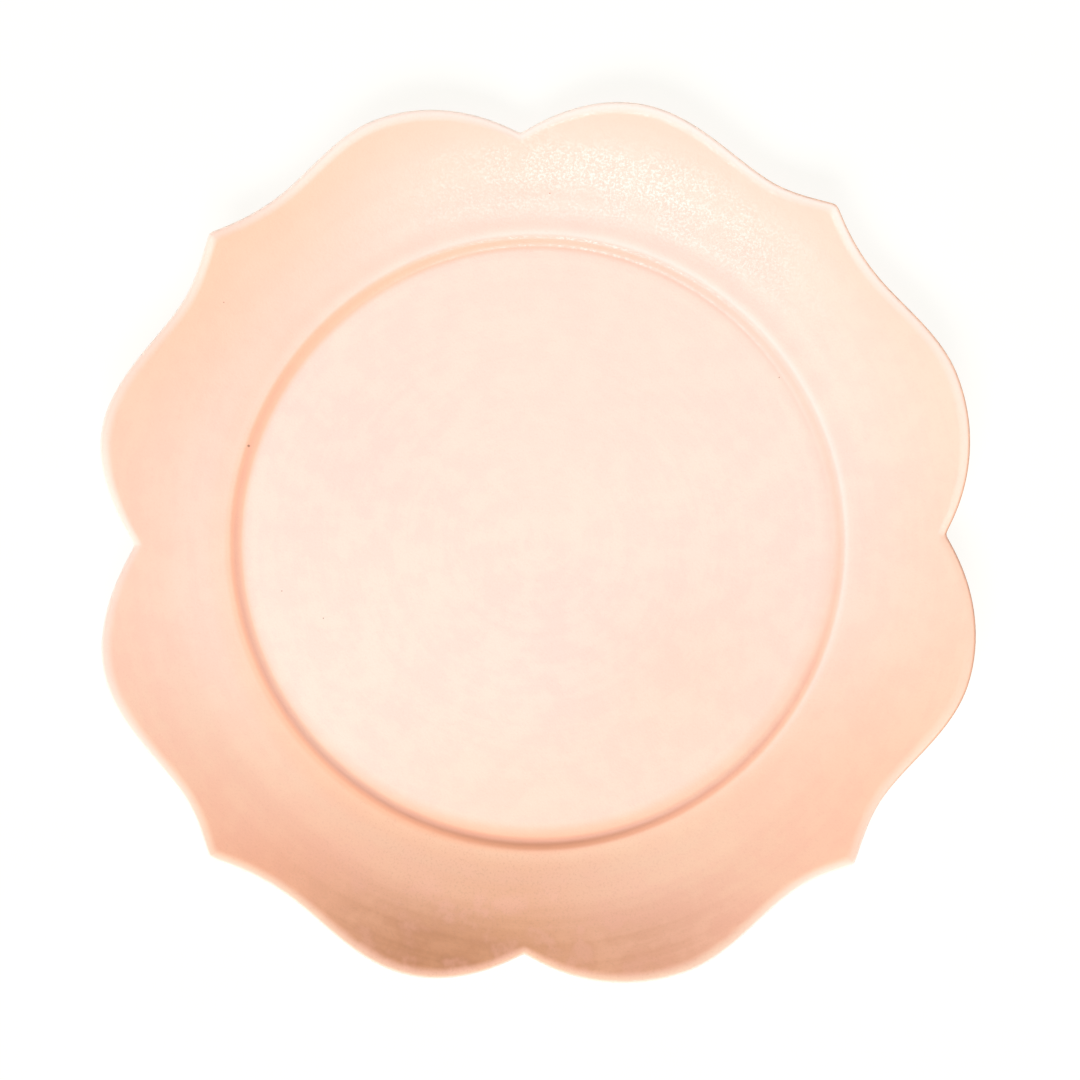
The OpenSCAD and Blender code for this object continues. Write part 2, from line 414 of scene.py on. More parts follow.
class Face:
    """The curves of the bare clay's face, from the well to the rim."""

    def __init__(self, size):
        well, floor, start = size("Well radius"), size("Floor level"), size("Rim start slope")
        hollow, crest = size("Step hollow radius"), size("Step crest radius")
        both = hollow + crest
        slope = ((hollow + crest * start.apply("COSINE") - size("Step height")) / both).apply("ARCCOSINE")
        crest_r = well + both * slope.apply("SINE")
        crest_z = floor + hollow - both * slope.apply("COSINE")
        self.rim_r = crest_r - crest * start.apply("SINE")
        self.rim_z = crest_z + crest * start.apply("COSINE")
        self.rise = start.apply("TANGENT")
        gained = size("Rim end slope").apply("TANGENT") - self.rise
        self.curl = gained / ((size("Crown radius") - self.rim_r) * 2.0)
        self.well, self.floor, self.start, self.slope = well, floor, start, slope
        self.hollow, self.crest, self.crest_centre = hollow, crest, vector(crest_r, 0.0, crest_z)

    def tangent(self, r):
        """How steep the rim is at a radius."""
        return self.rise + (r - self.rim_r) * self.curl * 2.0

    def off_rim(self, r, distance):
        """The point at a distance square off the rim, from where the rim has a radius."""
        square = vector(self.tangent(r) * -1.0, 0.0, 1.0).unit()
        height = self.rim_z + (r - self.rim_r) * (self.rise + (r - self.rim_r) * self.curl)
        return vector(r, 0.0, height) + square * distance

    def places(self, row, coat, along_rim):
        """Places in the well, the hollow, the crest and the rim."""
        across_well = (self.well - BRINK) * share_of(row, "well") + share_of(row, "brink") * BRINK
        well = vector(across_well, 0.0, self.floor + coat)
        hollow_turn = self.slope * share_of(row, "hollow") - QUARTER
        hollow = on_arc(vector(self.well, 0.0, self.floor + self.hollow), self.hollow - coat, hollow_turn)
        crest_turn = between(self.slope, self.start, share_of(row, "crest")) + QUARTER
        crest = on_arc(self.crest_centre, self.crest + coat, crest_turn)
        return [well, hollow, crest, self.off_rim(along_rim, coat)]


print("the well is", 2 * SIZES["Well radius"] / MM, "mm across")

# %% [markdown]
# ### The rounded lip
#
# A wet finger rounds the lip all the way over. The rim first rolls towards level, a small arc turns over
# the upper edge, a short cut face stands upright, and a larger arc turns under to the back. The centres
# of these arcs lie square off the rim, at a radius that follows the edge line.

# %% The rounded lip
class Lip:
    """The arcs of the lip, for an edge line at a reach."""

    def __init__(self, size, face, reach):
        wall, roll, last = size("Wall at the lip"), size("Lip roll radius"), size("Lip roll end slope")
        upper, lower = size("Lip upper edge radius"), size("Lip lower edge radius")
        near = face.tangent(reach - roll * 0.5 - upper).apply("ARCTANGENT")
        rolled_in = roll * (near.apply("SINE") - last.apply("SINE"))
        self.lip_r = reach - upper * (last.apply("SINE") + 1.0) - rolled_in
        self.slope = face.tangent(self.lip_r).apply("ARCTANGENT")
        self.roll_centre = face.off_rim(self.lip_r, roll * -1.0)
        self.edge_centre = on_arc(self.roll_centre, roll - upper, last + QUARTER)
        back_slope = face.tangent(reach - lower - wall * 0.4).apply("ARCTANGENT")
        self.back_r = reach - lower - (wall - lower) * back_slope.apply("SINE")
        self.under_centre = face.off_rim(self.back_r, lower - wall)
        self.under_slope = face.tangent(self.back_r).apply("ARCTANGENT")
        self.roll, self.last, self.upper, self.lower = roll, last, upper, lower

    def places(self, row, coat):
        """Places in the roll, the upper edge, the cut and the under edge."""
        upper, lower = self.upper + coat, self.lower + coat
        roll_turn = between(self.slope, self.last, share_of(row, "roll")) + QUARTER
        edge_turn = (self.last + QUARTER) * (1.0 - share_of(row, "edge"))
        under_turn = (self.under_slope - QUARTER) * share_of(row, "under")
        cut_start = on_arc(self.edge_centre, upper, row * 0.0)
        cut_end = on_arc(self.under_centre, lower, row * 0.0)
        return [
            on_arc(self.roll_centre, self.roll + coat, roll_turn),
            on_arc(self.edge_centre, upper, edge_turn),
            between(cut_start, cut_end, share_of(row, "cut")),
            on_arc(self.under_centre, lower, under_turn),
        ]


print("the lip rolls over on", SIZES["Lip roll radius"] / MM, "mm")

# %% [markdown]
# ### The back
#
# The back follows the face at the thickness of the wall, which grows from the lip to the step. Then it
# turns down to the foot in a cove, which a potter trims with a loop tool. The cove is a smooth blend that
# leaves the back and arrives above the foot in the right directions.

# %% The back and the cove
# How strongly the cove keeps its direction at its two ends
COVE_PULL = 5.0 * MM


def back_places(size, face, lip, row, coat):
    """Places on the back, and in the cove where it turns down to the foot."""
    inward = share_of(row, "back") * -1.0 + 1.0
    wall = between(size("Wall at the step"), size("Wall at the lip"), inward)
    back = face.off_rim(between(face.rim_r, lip.back_r, inward), (wall + coat) * -1.0)

    s = share_of(row, "cove")
    back_end = face.off_rim(face.rim_r + s * 0.0, (size("Wall at the step") + coat) * -1.0)
    ledge = vector(size("Foot radius") + size("Foot ledge"), 0.0, size("Base level") - coat)
    leaving = vector(face.start.apply("COSINE"), 0.0, face.start.apply("SINE")) * -COVE_PULL
    ease = s * s * (3.0 - s * 2.0)
    cove = back_end + (ledge - back_end) * ease + leaving * (s * (1.0 - s) * (1.0 - s))
    return [back, cove + vector(s * s * (1.0 - s) * COVE_PULL, 0.0, 0.0)]


print("the wall is", SIZES["Wall at the step"] / MM, "to", SIZES["Wall at the lip"] / MM, "mm")

# %% [markdown]
# ### The whole section
#
# The parts now only have to be put in order. The same rule gives the glaze, with a coat, and the clay,
# without one, so the two can't drift apart.

# %% The whole section
def plate_section(size, row, reach, coat, direction):
    """Radius and height, as x and z of a vector, of one row of the plate's skin under a coat."""
    face = Face(size)
    lip = Lip(size, face, reach)
    masks = glaze_masks(row)
    along_rim = between(face.rim_r, lip.lip_r, masks["rim"])
    coat = uneven_coat(size, row, coat, along_rim, direction, masks)
    places = face.places(row, coat, along_rim) + lip.places(row, coat)
    places = places + back_places(size, face, lip, row, coat)
    # The well and its brink are one place, so the end of the first part isn't wanted
    return pick(row, list(zip(ends_of(ROWS)[1:], places))), masks


print("the section is ready")

# %% [markdown]
# ## Turning a section into a closed skin
#
# Each piece is a grid of points: its rows run across the section, and its columns stand one at each
# direction of the edge line. The nodes move every point of the grid to its place. The first and last
# columns then lie on each other, and so do the points at the axis, so Merge by Distance closes the seam
# and the poles. Realize Instances and Set Material end the tree.

# %% A node tree that turns a piece
# Points closer than this are one point
TOUCHING = 0.0005 * MM


def turned_tree(name, rows, place_of_row):
    """A tree that turns a section round the plate. place_of_row gives a row's place and its masks."""
    tree = bpy.data.node_groups.new(name, "GeometryNodeTree")
    kinds = {"Edge line": "Geometry", **dict.fromkeys(SIZES, "Float"), "Finish": "Material"}
    for label, kind in kinds.items():
        tree.interface.new_socket(label, in_out="INPUT", socket_type="NodeSocket" + kind)
    tree.interface.new_socket("Piece", in_out="OUTPUT", socket_type="NodeSocketGeometry")
    line = Wire(tree).node("NodeGroupInput")

    counted = line.node("GeometryNodeAttributeDomainSize", None, {0: line})
    columns = counted + 1.0
    grid = line.node("GeometryNodeMeshGrid", None, {"Vertices X": rows + 1, "Vertices Y": columns})
    index = line.node("GeometryNodeInputIndex")
    row = ((index + 0.5) / columns).apply("FLOOR")
    column = (index - row * columns).apply("MODULO", counted)
    position = line.node("GeometryNodeInputPosition")
    settings = {"data_type": "FLOAT_VECTOR"}
    spot = line.node("GeometryNodeSampleIndex", settings, {0: line, "Value": position, "Index": column})
    direction = spot.unit()

    place, masks = place_of_row(line.also, row, spot.measure("LENGTH"), direction)
    split = line.node("ShaderNodeSeparateXYZ", None, {0: place})
    turned = direction * split.also("X") + vector(0.0, 0.0, split.also("Z"))

    for mask, value in masks.items():
        values = {"Geometry": grid, "Name": mask, "Value": value}
        grid = line.node("GeometryNodeStoreNamedAttribute", {"data_type": "FLOAT"}, values)
    skin = line.node("GeometryNodeSetPosition", None, {"Geometry": grid, "Position": turned})
    skin = line.node("GeometryNodeMergeByDistance", None, {"Geometry": skin, "Distance": TOUCHING})
    skin = line.node("GeometryNodeSetShadeSmooth", None, {"Geometry": skin})
    skin = line.node("GeometryNodeRealizeInstances", None, {0: skin})
    skin = line.node("GeometryNodeSetMaterial", None, {"Geometry": skin, "Material": line.also("Finish")})
    line.node("NodeGroupOutput", None, {0: skin})
    return tree


print("each piece is a grid of", len(edge) + 1, "columns")

# %% [markdown]
# ### From tree to plain mesh
#
# A modifier is live, so its shape is worked out again whenever something changes. A finished piece is a
# plain mesh instead, taken from the evaluated object. The inputs of the tree are set by the identifiers of
# their sockets, before that first evaluation.

# %% A plain mesh from a tree
def turn_piece(name, tree, sizes, finish):
    """Runs a tree on the edge line and gives its result as a plain object at the origin."""
    lathe = new_object(name + "_lathe", edge_mesh)
    modifier = lathe.modifiers.new("turned", "NODES")
    modifier.node_group = tree
    given = dict(sizes, Finish=finish)
    for item in tree.interface.items_tree:
        if item.in_out == "INPUT" and item.name in given:
            modifier[item.identifier] = given[item.name]
    evaluated = lathe.evaluated_get(bpy.context.evaluated_depsgraph_get())
    mesh = bpy.data.meshes.new_from_object(evaluated)
    mesh.name = name
    # The grid brings an empty first slot of its own
    mesh.materials.clear()
    mesh.materials.append(finish)
    mesh.polygons.foreach_set("material_index", [0] * len(mesh.polygons))
    lathe.modifiers.remove(modifier)
    bpy.data.objects.remove(lathe)
    # The volume would be negative if the faces pointed inwards
    shell = bmesh.new()
    shell.from_mesh(mesh)
    volume = round(shell.calc_volume(signed=True) / MM**3)
    shell.free()
    print(name, "has", len(mesh.vertices), "points and holds", volume, "cubic mm")
    return new_object(name, mesh)


print("the lathe is ready")

# %% [markdown]
# ## The finish of the glaze
#
# The glaze is a satin peach: thin and cream where it breaks over an edge, deep and orange where it lies
# thick in the step, with clouds of pink and a few iron specks. Painted light and shade are mixed into its
# colour too. The near side of the rim, which turns from the lamp, is painted browner, the step and several
# sides are painted darker, and the far lip and edge are painted paler. A painted picture could hold all
# that, but it would blur close up. Here the masks of the mesh and noise in the object's own coordinates
# mix the colours.

# %% A material to build on
def new_finish(name):
    """A material with an empty tree, and a wire to start its sums from."""
    finish = bpy.data.materials.new(name)
    finish.use_nodes = True
    finish.node_tree.nodes.clear()
    return finish, Wire(finish.node_tree)


def layered(wire, ground, layers):
    """A colour all over, with a share of each further colour mixed over it in turn."""
    mixed = wire.node("ShaderNodeRGB")
    mixed.socket.default_value = ground
    for colour, share in layers:
        mixed = wire.node("ShaderNodeMix", {"data_type": "RGBA"}, {0: share, 6: mixed, 7: colour}, out=2)
    return mixed


def noise(place, size, detail=2.0, roughness=0.5):
    """Noise about 0.5, with features of about a size in metres."""
    values = {"Vector": place, "Scale": 1.0 / size, "Detail": detail, "Roughness": roughness}
    return place.node("ShaderNodeTexNoise", None, values)


def mask(wire, name):
    """One of the masks that the node tree left on the mesh."""
    return wire.node("ShaderNodeAttribute", {"attribute_name": name}, out="Fac")


def bumped(height):
    """The normal of a surface that has a height in metres on it."""
    values = {"Strength": 1.0, "Distance": 1.0, "Height": height}
    return height.node("ShaderNodeBump", None, values, out="Normal")


def end_in_shader(wire, values):
    """Ends the tree of a material in one shader with these values."""
    shader = wire.node("ShaderNodeBsdfPrincipled", None, values)
    wire.node("ShaderNodeOutputMaterial", None, {"Surface": shader})


print("noise, masks and bumps are ready")

# %% [markdown]
# ### Iron specks
#
# Grains of iron in the clay burn through the glaze as dark dots. Scattered noise could make them, but
# hardly only a handful. So they are a short list of places and sizes, and each adds a small soft disc.

# %% Iron specks
# Places of the specks that show, in millimetres from the axis, and their radii
SPECKS = [
    (-67.7, 23.9, 0.4), (-72.5, 57.5, 0.2), (57.9, 38.1, 0.22),
    (4.4, 82.2, 0.22), (-60.5, -10.5, 0.2), (-50.8, -17.1, 0.2),
]


def iron_specks(place):
    """1 in the middle of each speck and 0 outside them."""
    shown = 0.0
    for x, y, radius in SPECKS:
        gap = (place * (1.0, 1.0, 0.0)).measure("DISTANCE", (x * MM, y * MM, 0.0))
        shown = gap.rise(radius * MM, radius * MM * 0.4) + shown
    return shown.clamp()


print(len(SPECKS), "iron specks")

# %% [markdown]
# ### Sides of the plate
#
# The colour is painted darker or paler from side to side, as painted shade and painted light. It is darker
# where the plate turns from the lamp and where less light falls, and paler on the far lip and edge. An angle
# could say where a side is, but it has a seam where it jumps from 360 degrees to 0. The cosine between a
# point and a direction has none, and a high power of it makes a narrow side.

# %% Sides of the plate
# The direction of each side, in degrees from +X, and the power that makes it narrow
# Nearly every side carries painted shade, and the far side also carries painted light
SIDES = {
    "dry": (15.0, 3.0),
    "right": (30.0, 2.0),
    "top": (74.0, 5.0),
    "upper_left": (137.0, 12.0),
    "left": (150.0, 2.0),
    "lower_left": (225.0, 2.0),
    "low_left": (233.0, 18.0),
    "burnt": (255.5, 60.0),
    "run": (262.0, 15.0),
    "near": (270.0, 4.0),
    "hidden": (271.0, 26.0),
    "burnt_again": (285.0, 90.0),
    "near_right": (290.0, 4.0),
    "low_right": (292.0, 14.0),
    "lower_right": (314.0, 12.0),
    "scorched": (350.0, 6.0),
}


def towards(place, radius, degrees, narrow):
    """1 on the side of the plate that lies in a direction, falling to 0 at the far side."""
    side = (math.cos(math.radians(degrees)), math.sin(math.radians(degrees)), 0.0)
    return (place.measure("DOT_PRODUCT", side) / radius * 0.5 + 0.5).apply("POWER", narrow)


print(len(SIDES), "sides")

# %% [markdown]
# ### What the glaze follows
#
# Everything that the colour and the gloss are mixed by is gathered once: the masks along the section, the
# radius, the sides, which carry most of the painted shade and light, and three noises. Two noises stand for
# the clouds of the dip. The third is read by direction and radius instead of by place, so it is drawn out
# along the turn of the wheel.

# %% What the glaze follows
MASKS = ("pool", "crest", "lip", "edge", "rim", "back")
CLOUD_SIZE = 45 * MM
PATCH_SIZE = 7 * MM
STREAK_SIZE = 2.6 * MM
# How far the noise of the streaks goes with the direction: less draws them out longer
STREAK_TURN = 14 * MM


class GlazeMarks:
    """Everything that the colour and the gloss of the glaze follow, as wires of one material."""

    def __init__(self, wire):
        self.place = wire.node("ShaderNodeTexCoord", out="Object")
        for name in MASKS:
            setattr(self, name, mask(wire, name))
        flat = self.place * (1.0, 1.0, 0.0)
        self.radius = flat.measure("LENGTH")
        for name, (degrees, narrow) in SIDES.items():
            setattr(self, name, towards(self.place, self.radius, degrees, narrow))
        self.on_rim = self.ring(70.5, 76.5)
        self.in_well = 1.0 - self.on_rim
        self.broad = noise(self.place, CLOUD_SIZE, 2.0)
        self.patches = noise(self.place, PATCH_SIZE, 3.0, 0.6)
        wheel = flat / self.radius * STREAK_TURN + vector(0.0, 0.0, self.radius)
        self.drawn = noise(wheel, STREAK_SIZE, 4.0, 0.6)

    def ring(self, start, full):
        """A soft step along the radius, from 0 to 1 between two radii in millimetres."""
        return self.radius.rise(start * MM, full * MM)


print("the glaze follows", len(MASKS), "masks,", len(SIDES), "sides and 3 noises")

# %% [markdown]
# ### The colours of the glaze
#
# One glaze fires to many colours: cream where it is thin and the clay shows through, and orange where it
# is thick. The darker orange and the brown are painted shade, and the palest colours are partly painted
# light. Blender takes colours as linear light, so these numbers look darker and stronger than the plate
# does.

# %% The colours of the glaze
CREAM = (0.97, 0.695, 0.57, 1.0)
PINK = (0.97, 0.63, 0.535, 1.0)
BLUSH = (0.97, 0.515, 0.445, 1.0)
DEEP = (0.975, 0.40, 0.20, 1.0)
# This darker orange is painted shade
SHADE_ORANGE = (0.77, 0.395, 0.215, 1.0)
POOLED = (0.955, 0.385, 0.21, 1.0)
# This brown is painted shade
SHADE_BROWN = (0.50, 0.21, 0.10, 1.0)
UMBER = (0.45, 0.22, 0.12, 1.0)
ROSE = (0.93, 0.50, 0.38, 1.0)
# These two pale colours are partly thin glaze and partly painted light
THIN_AND_LIT = (0.97, 0.82, 0.74, 1.0)
BARE_AND_LIT = (0.98, 0.87, 0.79, 1.0)
IRON = (0.22, 0.10, 0.045, 1.0)
print("cream", CREAM[:3], "to brown", SHADE_BROWN[:3])

# %% [markdown]
# ### Clouds, deep orange and painted shade
#
# The ground is cream with pink clouds, fewer in the far well as painted light, and the far rim has a
# blush, deepened as painted shade. Over that comes a deep orange, which grows up the rim. It is stronger on
# several sides and beside the step at the near side, as painted shade where less light falls. Each
# function gives its layers, a colour and its share for each.

# %% Clouds, deep orange and painted shade
def clouds(on):
    """Pink clouds over the cream, fewer in the far well as painted light, and a blush on the far and upper
    left rim, deepened there as painted shade.
    """
    mottle = (on.patches * 0.65 + on.drawn * 0.35).rise(0.43, 0.57)
    return [
        # Fewer pink clouds in the far well is painted light, and the blush on the far and upper left rim is
        # partly painted shade
        (PINK, (mottle * 0.55 + on.broad.rise(0.35, 0.7) * 0.45) * (1.0 - on.top * on.in_well * 0.5)),
        (BLUSH, (on.top * (0.5 + on.rim * 0.35) + on.upper_left * 0.35) * on.on_rim),
    ]


def deep_coat_and_shade(on):
    """Deeper orange up the rim, and painted shade: deeper on several sides of the rim, in the near and lower
    right well, and beside the step.
    """
    brow = on.lower_left * on.ring(71.0, 72.3)
    # After the first share, each share is painted shade: on a side of the rim, in the well or beside the
    # step
    deep_and_shade = (
        on.rim.apply("SQRT") * 0.21
        + on.upper_left * on.on_rim * (0.12 + on.rim * 0.12)
        + on.lower_right * on.on_rim * 0.24
        + on.low_left * on.on_rim * (0.22 + on.rim * 0.24)
        + on.top * on.on_rim * on.rim * 0.08
        + on.run * on.ring(28, 68) * on.in_well * 0.2
        + on.lower_right * on.ring(12, 52) * on.in_well * 0.2
        + on.near * (on.ring(66.0, 69.0) * on.ring(71.0, 69.6)) * 0.28
        + brow * on.ring(80.0, 73.6) * 0.3
        + brow * on.ring(74.2, 73.0) * 0.3
    )
    return [(DEEP, deep_and_shade * (1.0 - on.back * 0.4))]


print("clouds about", PATCH_SIZE / MM, "mm wide")

# %% [markdown]
# ### The painted shade of the near side
#
# The near side of the rim turns away from the lamp, and its shade is painted. It turns from orange to
# brown there, in streaks that follow the wheel, with two browner patches close to the lip, where the rim
# is steepest, and a little rose between them.

# %% The painted shade of the near side
def shaded_near_side(on):
    """Painted shade on the near side of the rim, orange and brown, in streaks."""
    streaks = (on.drawn * 0.4 + on.patches * 0.6).rise(0.36, 0.62)
    # Painted shade: two brown patches close to the lip on the near side, where the rim is steepest
    burnt = on.burnt + on.burnt_again * 0.4
    return [
        (SHADE_ORANGE, on.run * on.on_rim * (0.58 + on.rim * 0.52) * (0.85 + on.drawn * 0.3)),
        (SHADE_ORANGE, on.low_right * on.on_rim * (1.0 - on.rim * 0.6) * 0.2),
        (SHADE_BROWN, on.run * on.ring(80, 101) * streaks * 0.36),
        (SHADE_BROWN, burnt * on.ring(84, 99) * (0.6 + streaks * 0.38)),
        (ROSE, on.run * on.rim.rise(0.0, 0.5) * on.patches.rise(0.5, 0.66) * 0.3),
    ]


print("streaks about", STREAK_SIZE / MM, "mm wide")

# %% [markdown]
# ### The step and the edges
#
# In the hollow of the step the glaze pools, and painted shade is mixed into it: pink at the far side,
# orange at the left and near sides, and brown in its core, where least light reaches. Over the crest and
# the lip it breaks to cream, made brighter as painted light at the right crest and the far lip, and deeper
# as painted shade at the near lip. The outer edge is nearly bare and painted paler, as painted light,
# except at the right side, where it is painted brown as shade.

# %% The step and the edges
def pooled_and_shaded_step(on):
    """The colours of the glaze that gathered in the step, with painted shade at the far, left and near sides
    and in its core.
    """
    far_pool = on.pool * on.ring(68.3, 69.9)
    shaded_core = on.ring(70.5, 71.6) * on.ring(73.4, 72.2)
    return [
        # Painted shade: the far, left and near shares of the pool, and the whole core
        (BLUSH, far_pool * (on.top * 0.9 + on.right * 0.12)),
        (POOLED, on.pool * (0.12 + on.run * 0.42 + on.lower_right * 0.1) + far_pool * on.left * 0.56),
        (DEEP, shaded_core * on.near_right * 0.35),
        (SHADE_BROWN, shaded_core * on.hidden * 0.48),
    ]


def broken_lit_and_shaded_edges(on):
    """Cream where the glaze breaks, with painted light on the right crest, the far lip and the pale outer
    edge, and painted shade, deep to brown, on the near lip and the right edge.
    """
    # Painted shade on the lip and edge at the right and near sides, painted light on the far lip and edge
    scorched = on.scorched.rise(0.45, 0.95)
    thin_and_lit_lip = on.lip * (0.35 + on.top * 0.5 - on.run * 0.1 - scorched * 0.2)
    return [
        (DEEP, on.lip * (on.run * 0.5 + scorched * 0.3)),
        (THIN_AND_LIT, (on.crest * on.right * 0.45).apply("MAXIMUM", thin_and_lit_lip)),
        (BARE_AND_LIT, on.edge * (0.8 + on.top * 0.2 - on.run * 0.35) * on.dry.rise(0.9, 0.3)),
        (SHADE_ORANGE, on.edge * on.dry.rise(0.3, 0.9) * 0.8),
        (SHADE_BROWN, on.edge * scorched * 0.8),
    ]


def grain_and_specks(on):
    """Fine brown grain, stronger on the near side of the rim as painted shade, and the iron specks."""
    grain = noise(on.place, 0.55 * MM, 2.0).rise(0.5, 0.72)
    return [
        (UMBER, grain * (0.06 + on.run * on.on_rim * 0.16)),
        (IRON, iron_specks(on.place) * 0.8),
    ]


print("all layers are ready")

# %% [markdown]
# ### The satin surface
#
# A satin glaze has a fine ripple, like the peel of an orange, which breaks its highlight into glints. Bump
# alone is too small for the camera to show them. So the tops of the ripple are also smoother, in patches,
# and they flash where the lamp is mirrored on the far rim. At the end of this cell the layers are laid over
# the cream in order, from the clouds of the dip to the specks that burn through.

# %% The satin surface
PEEL_SIZE = 0.58 * MM
RIPPLE_SIZE = 3 * MM
WHEEL_MARKS = 3.4 * MM


def satin_surface(on):
    """The roughness of the glaze and its normal."""
    peel = noise(on.place, PEEL_SIZE, 3.0, 0.6)
    ripple = noise(on.place, RIPPLE_SIZE, 1.0, 0.5)
    rings = (on.radius * (2 * math.pi / WHEEL_MARKS) + on.broad * 6.0).apply("SINE")
    glint = peel.rise(0.44, 0.62) * on.patches.rise(0.25, 0.5)
    height = peel * (0.03 * MM) + ripple * (0.03 * MM) + rings * (0.003 * MM)
    return 0.47 + on.patches * 0.1 - glint * 0.2 + on.lip * 0.1, bumped(height)


glaze_finish, wire = new_finish("satin_peach_glaze")
on = GlazeMarks(wire)
layers = []
for part in (clouds, deep_coat_and_shade, shaded_near_side, pooled_and_shaded_step, broken_lit_and_shaded_edges, grain_and_specks):
    layers += part(on)
roughness, normal = satin_surface(on)
values = {"Base Color": layered(wire, CREAM, layers), "Roughness": roughness, "IOR": 1.48}
end_in_shader(wire, {**values, "Normal": normal})
print("glaze of", len(glaze_finish.node_tree.nodes), "nodes, in", len(layers), "layers")

# %% [markdown]
# ## The glaze coat
#
# The coat is one closed skin. It runs from the middle of the well over the step, the rim and the lip,
# down the back to the foot ring, where it ends in a rolled edge that the sponge left a little uneven. From
# there it runs back along the clay, in half as many rows, because they are never seen.

# %% Turn the glaze coat
ROLL_ROWS = 5
# Width of the rolled edge where a coat ends, in millimetres
ROLL_WIDTH = 0.6
GLAZE_OUT = FACE_ROWS + ROLL_ROWS
GLAZE_ROWS = GLAZE_OUT + FACE_ROWS // 2


def sponged_edge(size, direction):
    """Radius where the sponge stopped the glaze beside the foot ring."""
    values = {"Vector": direction, "Scale": 5.0, "Detail": 3.0}
    wander = direction.node("ShaderNodeTexNoise", None, values)
    return size("Foot radius") + size("Sponged line") + size("Sponge wander") * wander


def glaze_place(size, row, reach, direction):
    """Place and masks of one row of the glaze coat."""
    thickness = size("Glaze thickness")
    inside = row > GLAZE_OUT - 0.5
    outer_row = row.apply("MINIMUM", FACE_ROWS)
    inner_row = (GLAZE_ROWS - row) * 2.0
    face_row = between(outer_row, inner_row, inside)
    coat = thickness * (1.0 - inside)
    place, masks = plate_section(size, face_row, reach - thickness, coat, direction)
    roll = ((row - FACE_ROWS) / ROLL_ROWS).clamp() * QUARTER
    edge_r = sponged_edge(size, direction)
    rolled_r = edge_r + (1.0 - roll.apply("SINE")) * ROLL_WIDTH * MM
    rolled_z = size("Base level") - thickness * roll.apply("COSINE")
    rolled = vector(rolled_r, 0.0, rolled_z)
    place = pick(row, [(FACE_ROWS, place), (GLAZE_OUT, rolled), (GLAZE_ROWS, place)])
    return place, masks


glaze_tree = turned_tree("turn the glaze coat", GLAZE_ROWS, glaze_place)
glaze_coat = turn_piece("satin_glaze_coat", glaze_tree, SIZES, glaze_finish)

# %% [markdown]
# ## The stoneware body
#
# The clay shows only on the foot ring, which is wiped clean so that the plate doesn't stick to the kiln
# shelf. It is a sandy buff stoneware, a shade browner beside the glaze, rubbed smooth where it stands.

# %% Bare stoneware
BUFF, PALE_BUFF = (0.62, 0.49, 0.355, 1.0), (0.69, 0.56, 0.43, 1.0)
TOASTED, DARK_SAND, GROG = (0.43, 0.29, 0.17, 1.0), (0.33, 0.23, 0.15, 1.0), (0.76, 0.69, 0.58, 1.0)

clay_finish, wire = new_finish("bare_stoneware")
place = wire.node("ShaderNodeTexCoord", out="Object")
height = wire.node("ShaderNodeSeparateXYZ", None, {0: place}, out="Z")
patchy = noise(place, 6 * MM, 3.0)
sand = noise(place, 0.5 * MM, 2.0, 0.7)
grog = wire.node("ShaderNodeTexVoronoi", None, {"Vector": place, "Scale": 900.0}, out="Distance")
layers = [
    (PALE_BUFF, patchy.rise(0.35, 0.65)),
    (TOASTED, height.rise(1.2 * MM, 2.3 * MM) * 0.55),
    (DARK_SAND, sand.rise(0.6, 0.72) * 0.35),
    (GROG, grog.rise(0.25, 0.12) * 0.4),
]
grain = sand * (0.06 * MM) + patchy * (0.05 * MM)
roughness = 0.78 + sand * 0.15 - height.rise(0.5 * MM, 0.0) * 0.2
values = {"Base Color": layered(wire, BUFF, layers), "Roughness": roughness, "Normal": bumped(grain)}
end_in_shader(wire, values)
print("stoneware of", len(clay_finish.node_tree.nodes), "nodes")

# %% [markdown]
# ### Turning the body
#
# The body is the same section without its coat, with half the rows because the glaze hides them. It goes
# on round the foot ring: the outer wall, a corner, the tread that it stands on, the inner corner, the bore
# and the flat base.

# %% Turn the stoneware body
FOOT_PARTS = {"wall": 3, "outer": 6, "tread": 4, "inner": 6, "bore": 3, "base": 6}
CLAY_FACE = FACE_ROWS // 2
CLAY_ROWS = CLAY_FACE + sum(FOOT_PARTS.values())


def foot_places(size, row):
    """Places on the foot ring, from its outer wall round to the middle of the base."""
    foot_r, base, soft = size("Foot radius"), size("Base level"), size("Foot rounding")
    bore_r = foot_r - size("Foot width")
    across = {part: share_of(row, part, FOOT_PARTS, CLAY_FACE) for part in FOOT_PARTS}
    return [
        vector(foot_r, 0.0, between(base, soft, across["wall"])),
        on_arc(vector(foot_r - soft, 0.0, soft), soft, across["outer"] * -QUARTER),
        vector(between(foot_r - soft, bore_r + soft, across["tread"]), 0.0, 0.0),
        on_arc(vector(bore_r + soft, 0.0, soft), soft, across["inner"] * -QUARTER - QUARTER),
        vector(bore_r, 0.0, between(soft, base, across["bore"])),
        vector(bore_r * (1.0 - across["base"]), 0.0, base),
    ]


def clay_place(size, row, reach, direction):
    """Place and masks of one row of the clay: the face under the glaze, then the foot ring."""
    face_row = (row * 2.0).apply("MINIMUM", FACE_ROWS)
    place, masks = plate_section(size, face_row, reach - size("Glaze thickness"), row * 0.0, direction)
    ends = [CLAY_FACE] + ends_of(FOOT_PARTS, CLAY_FACE)
    return pick(row, list(zip(ends, [place] + foot_places(size, row)))), {}


clay_tree = turned_tree("turn the stoneware body", CLAY_ROWS, clay_place)
clay_body = turn_piece("stoneware_body", clay_tree, SIZES, clay_finish)

# %% [markdown]
# ## The glazed patch inside the foot ring
#
# The base was glazed with the rest, and wiping the foot ring cut this patch off. It is a thin disc with a
# rolled edge that wanders a little. The same lathe turns it from a section of three parts.

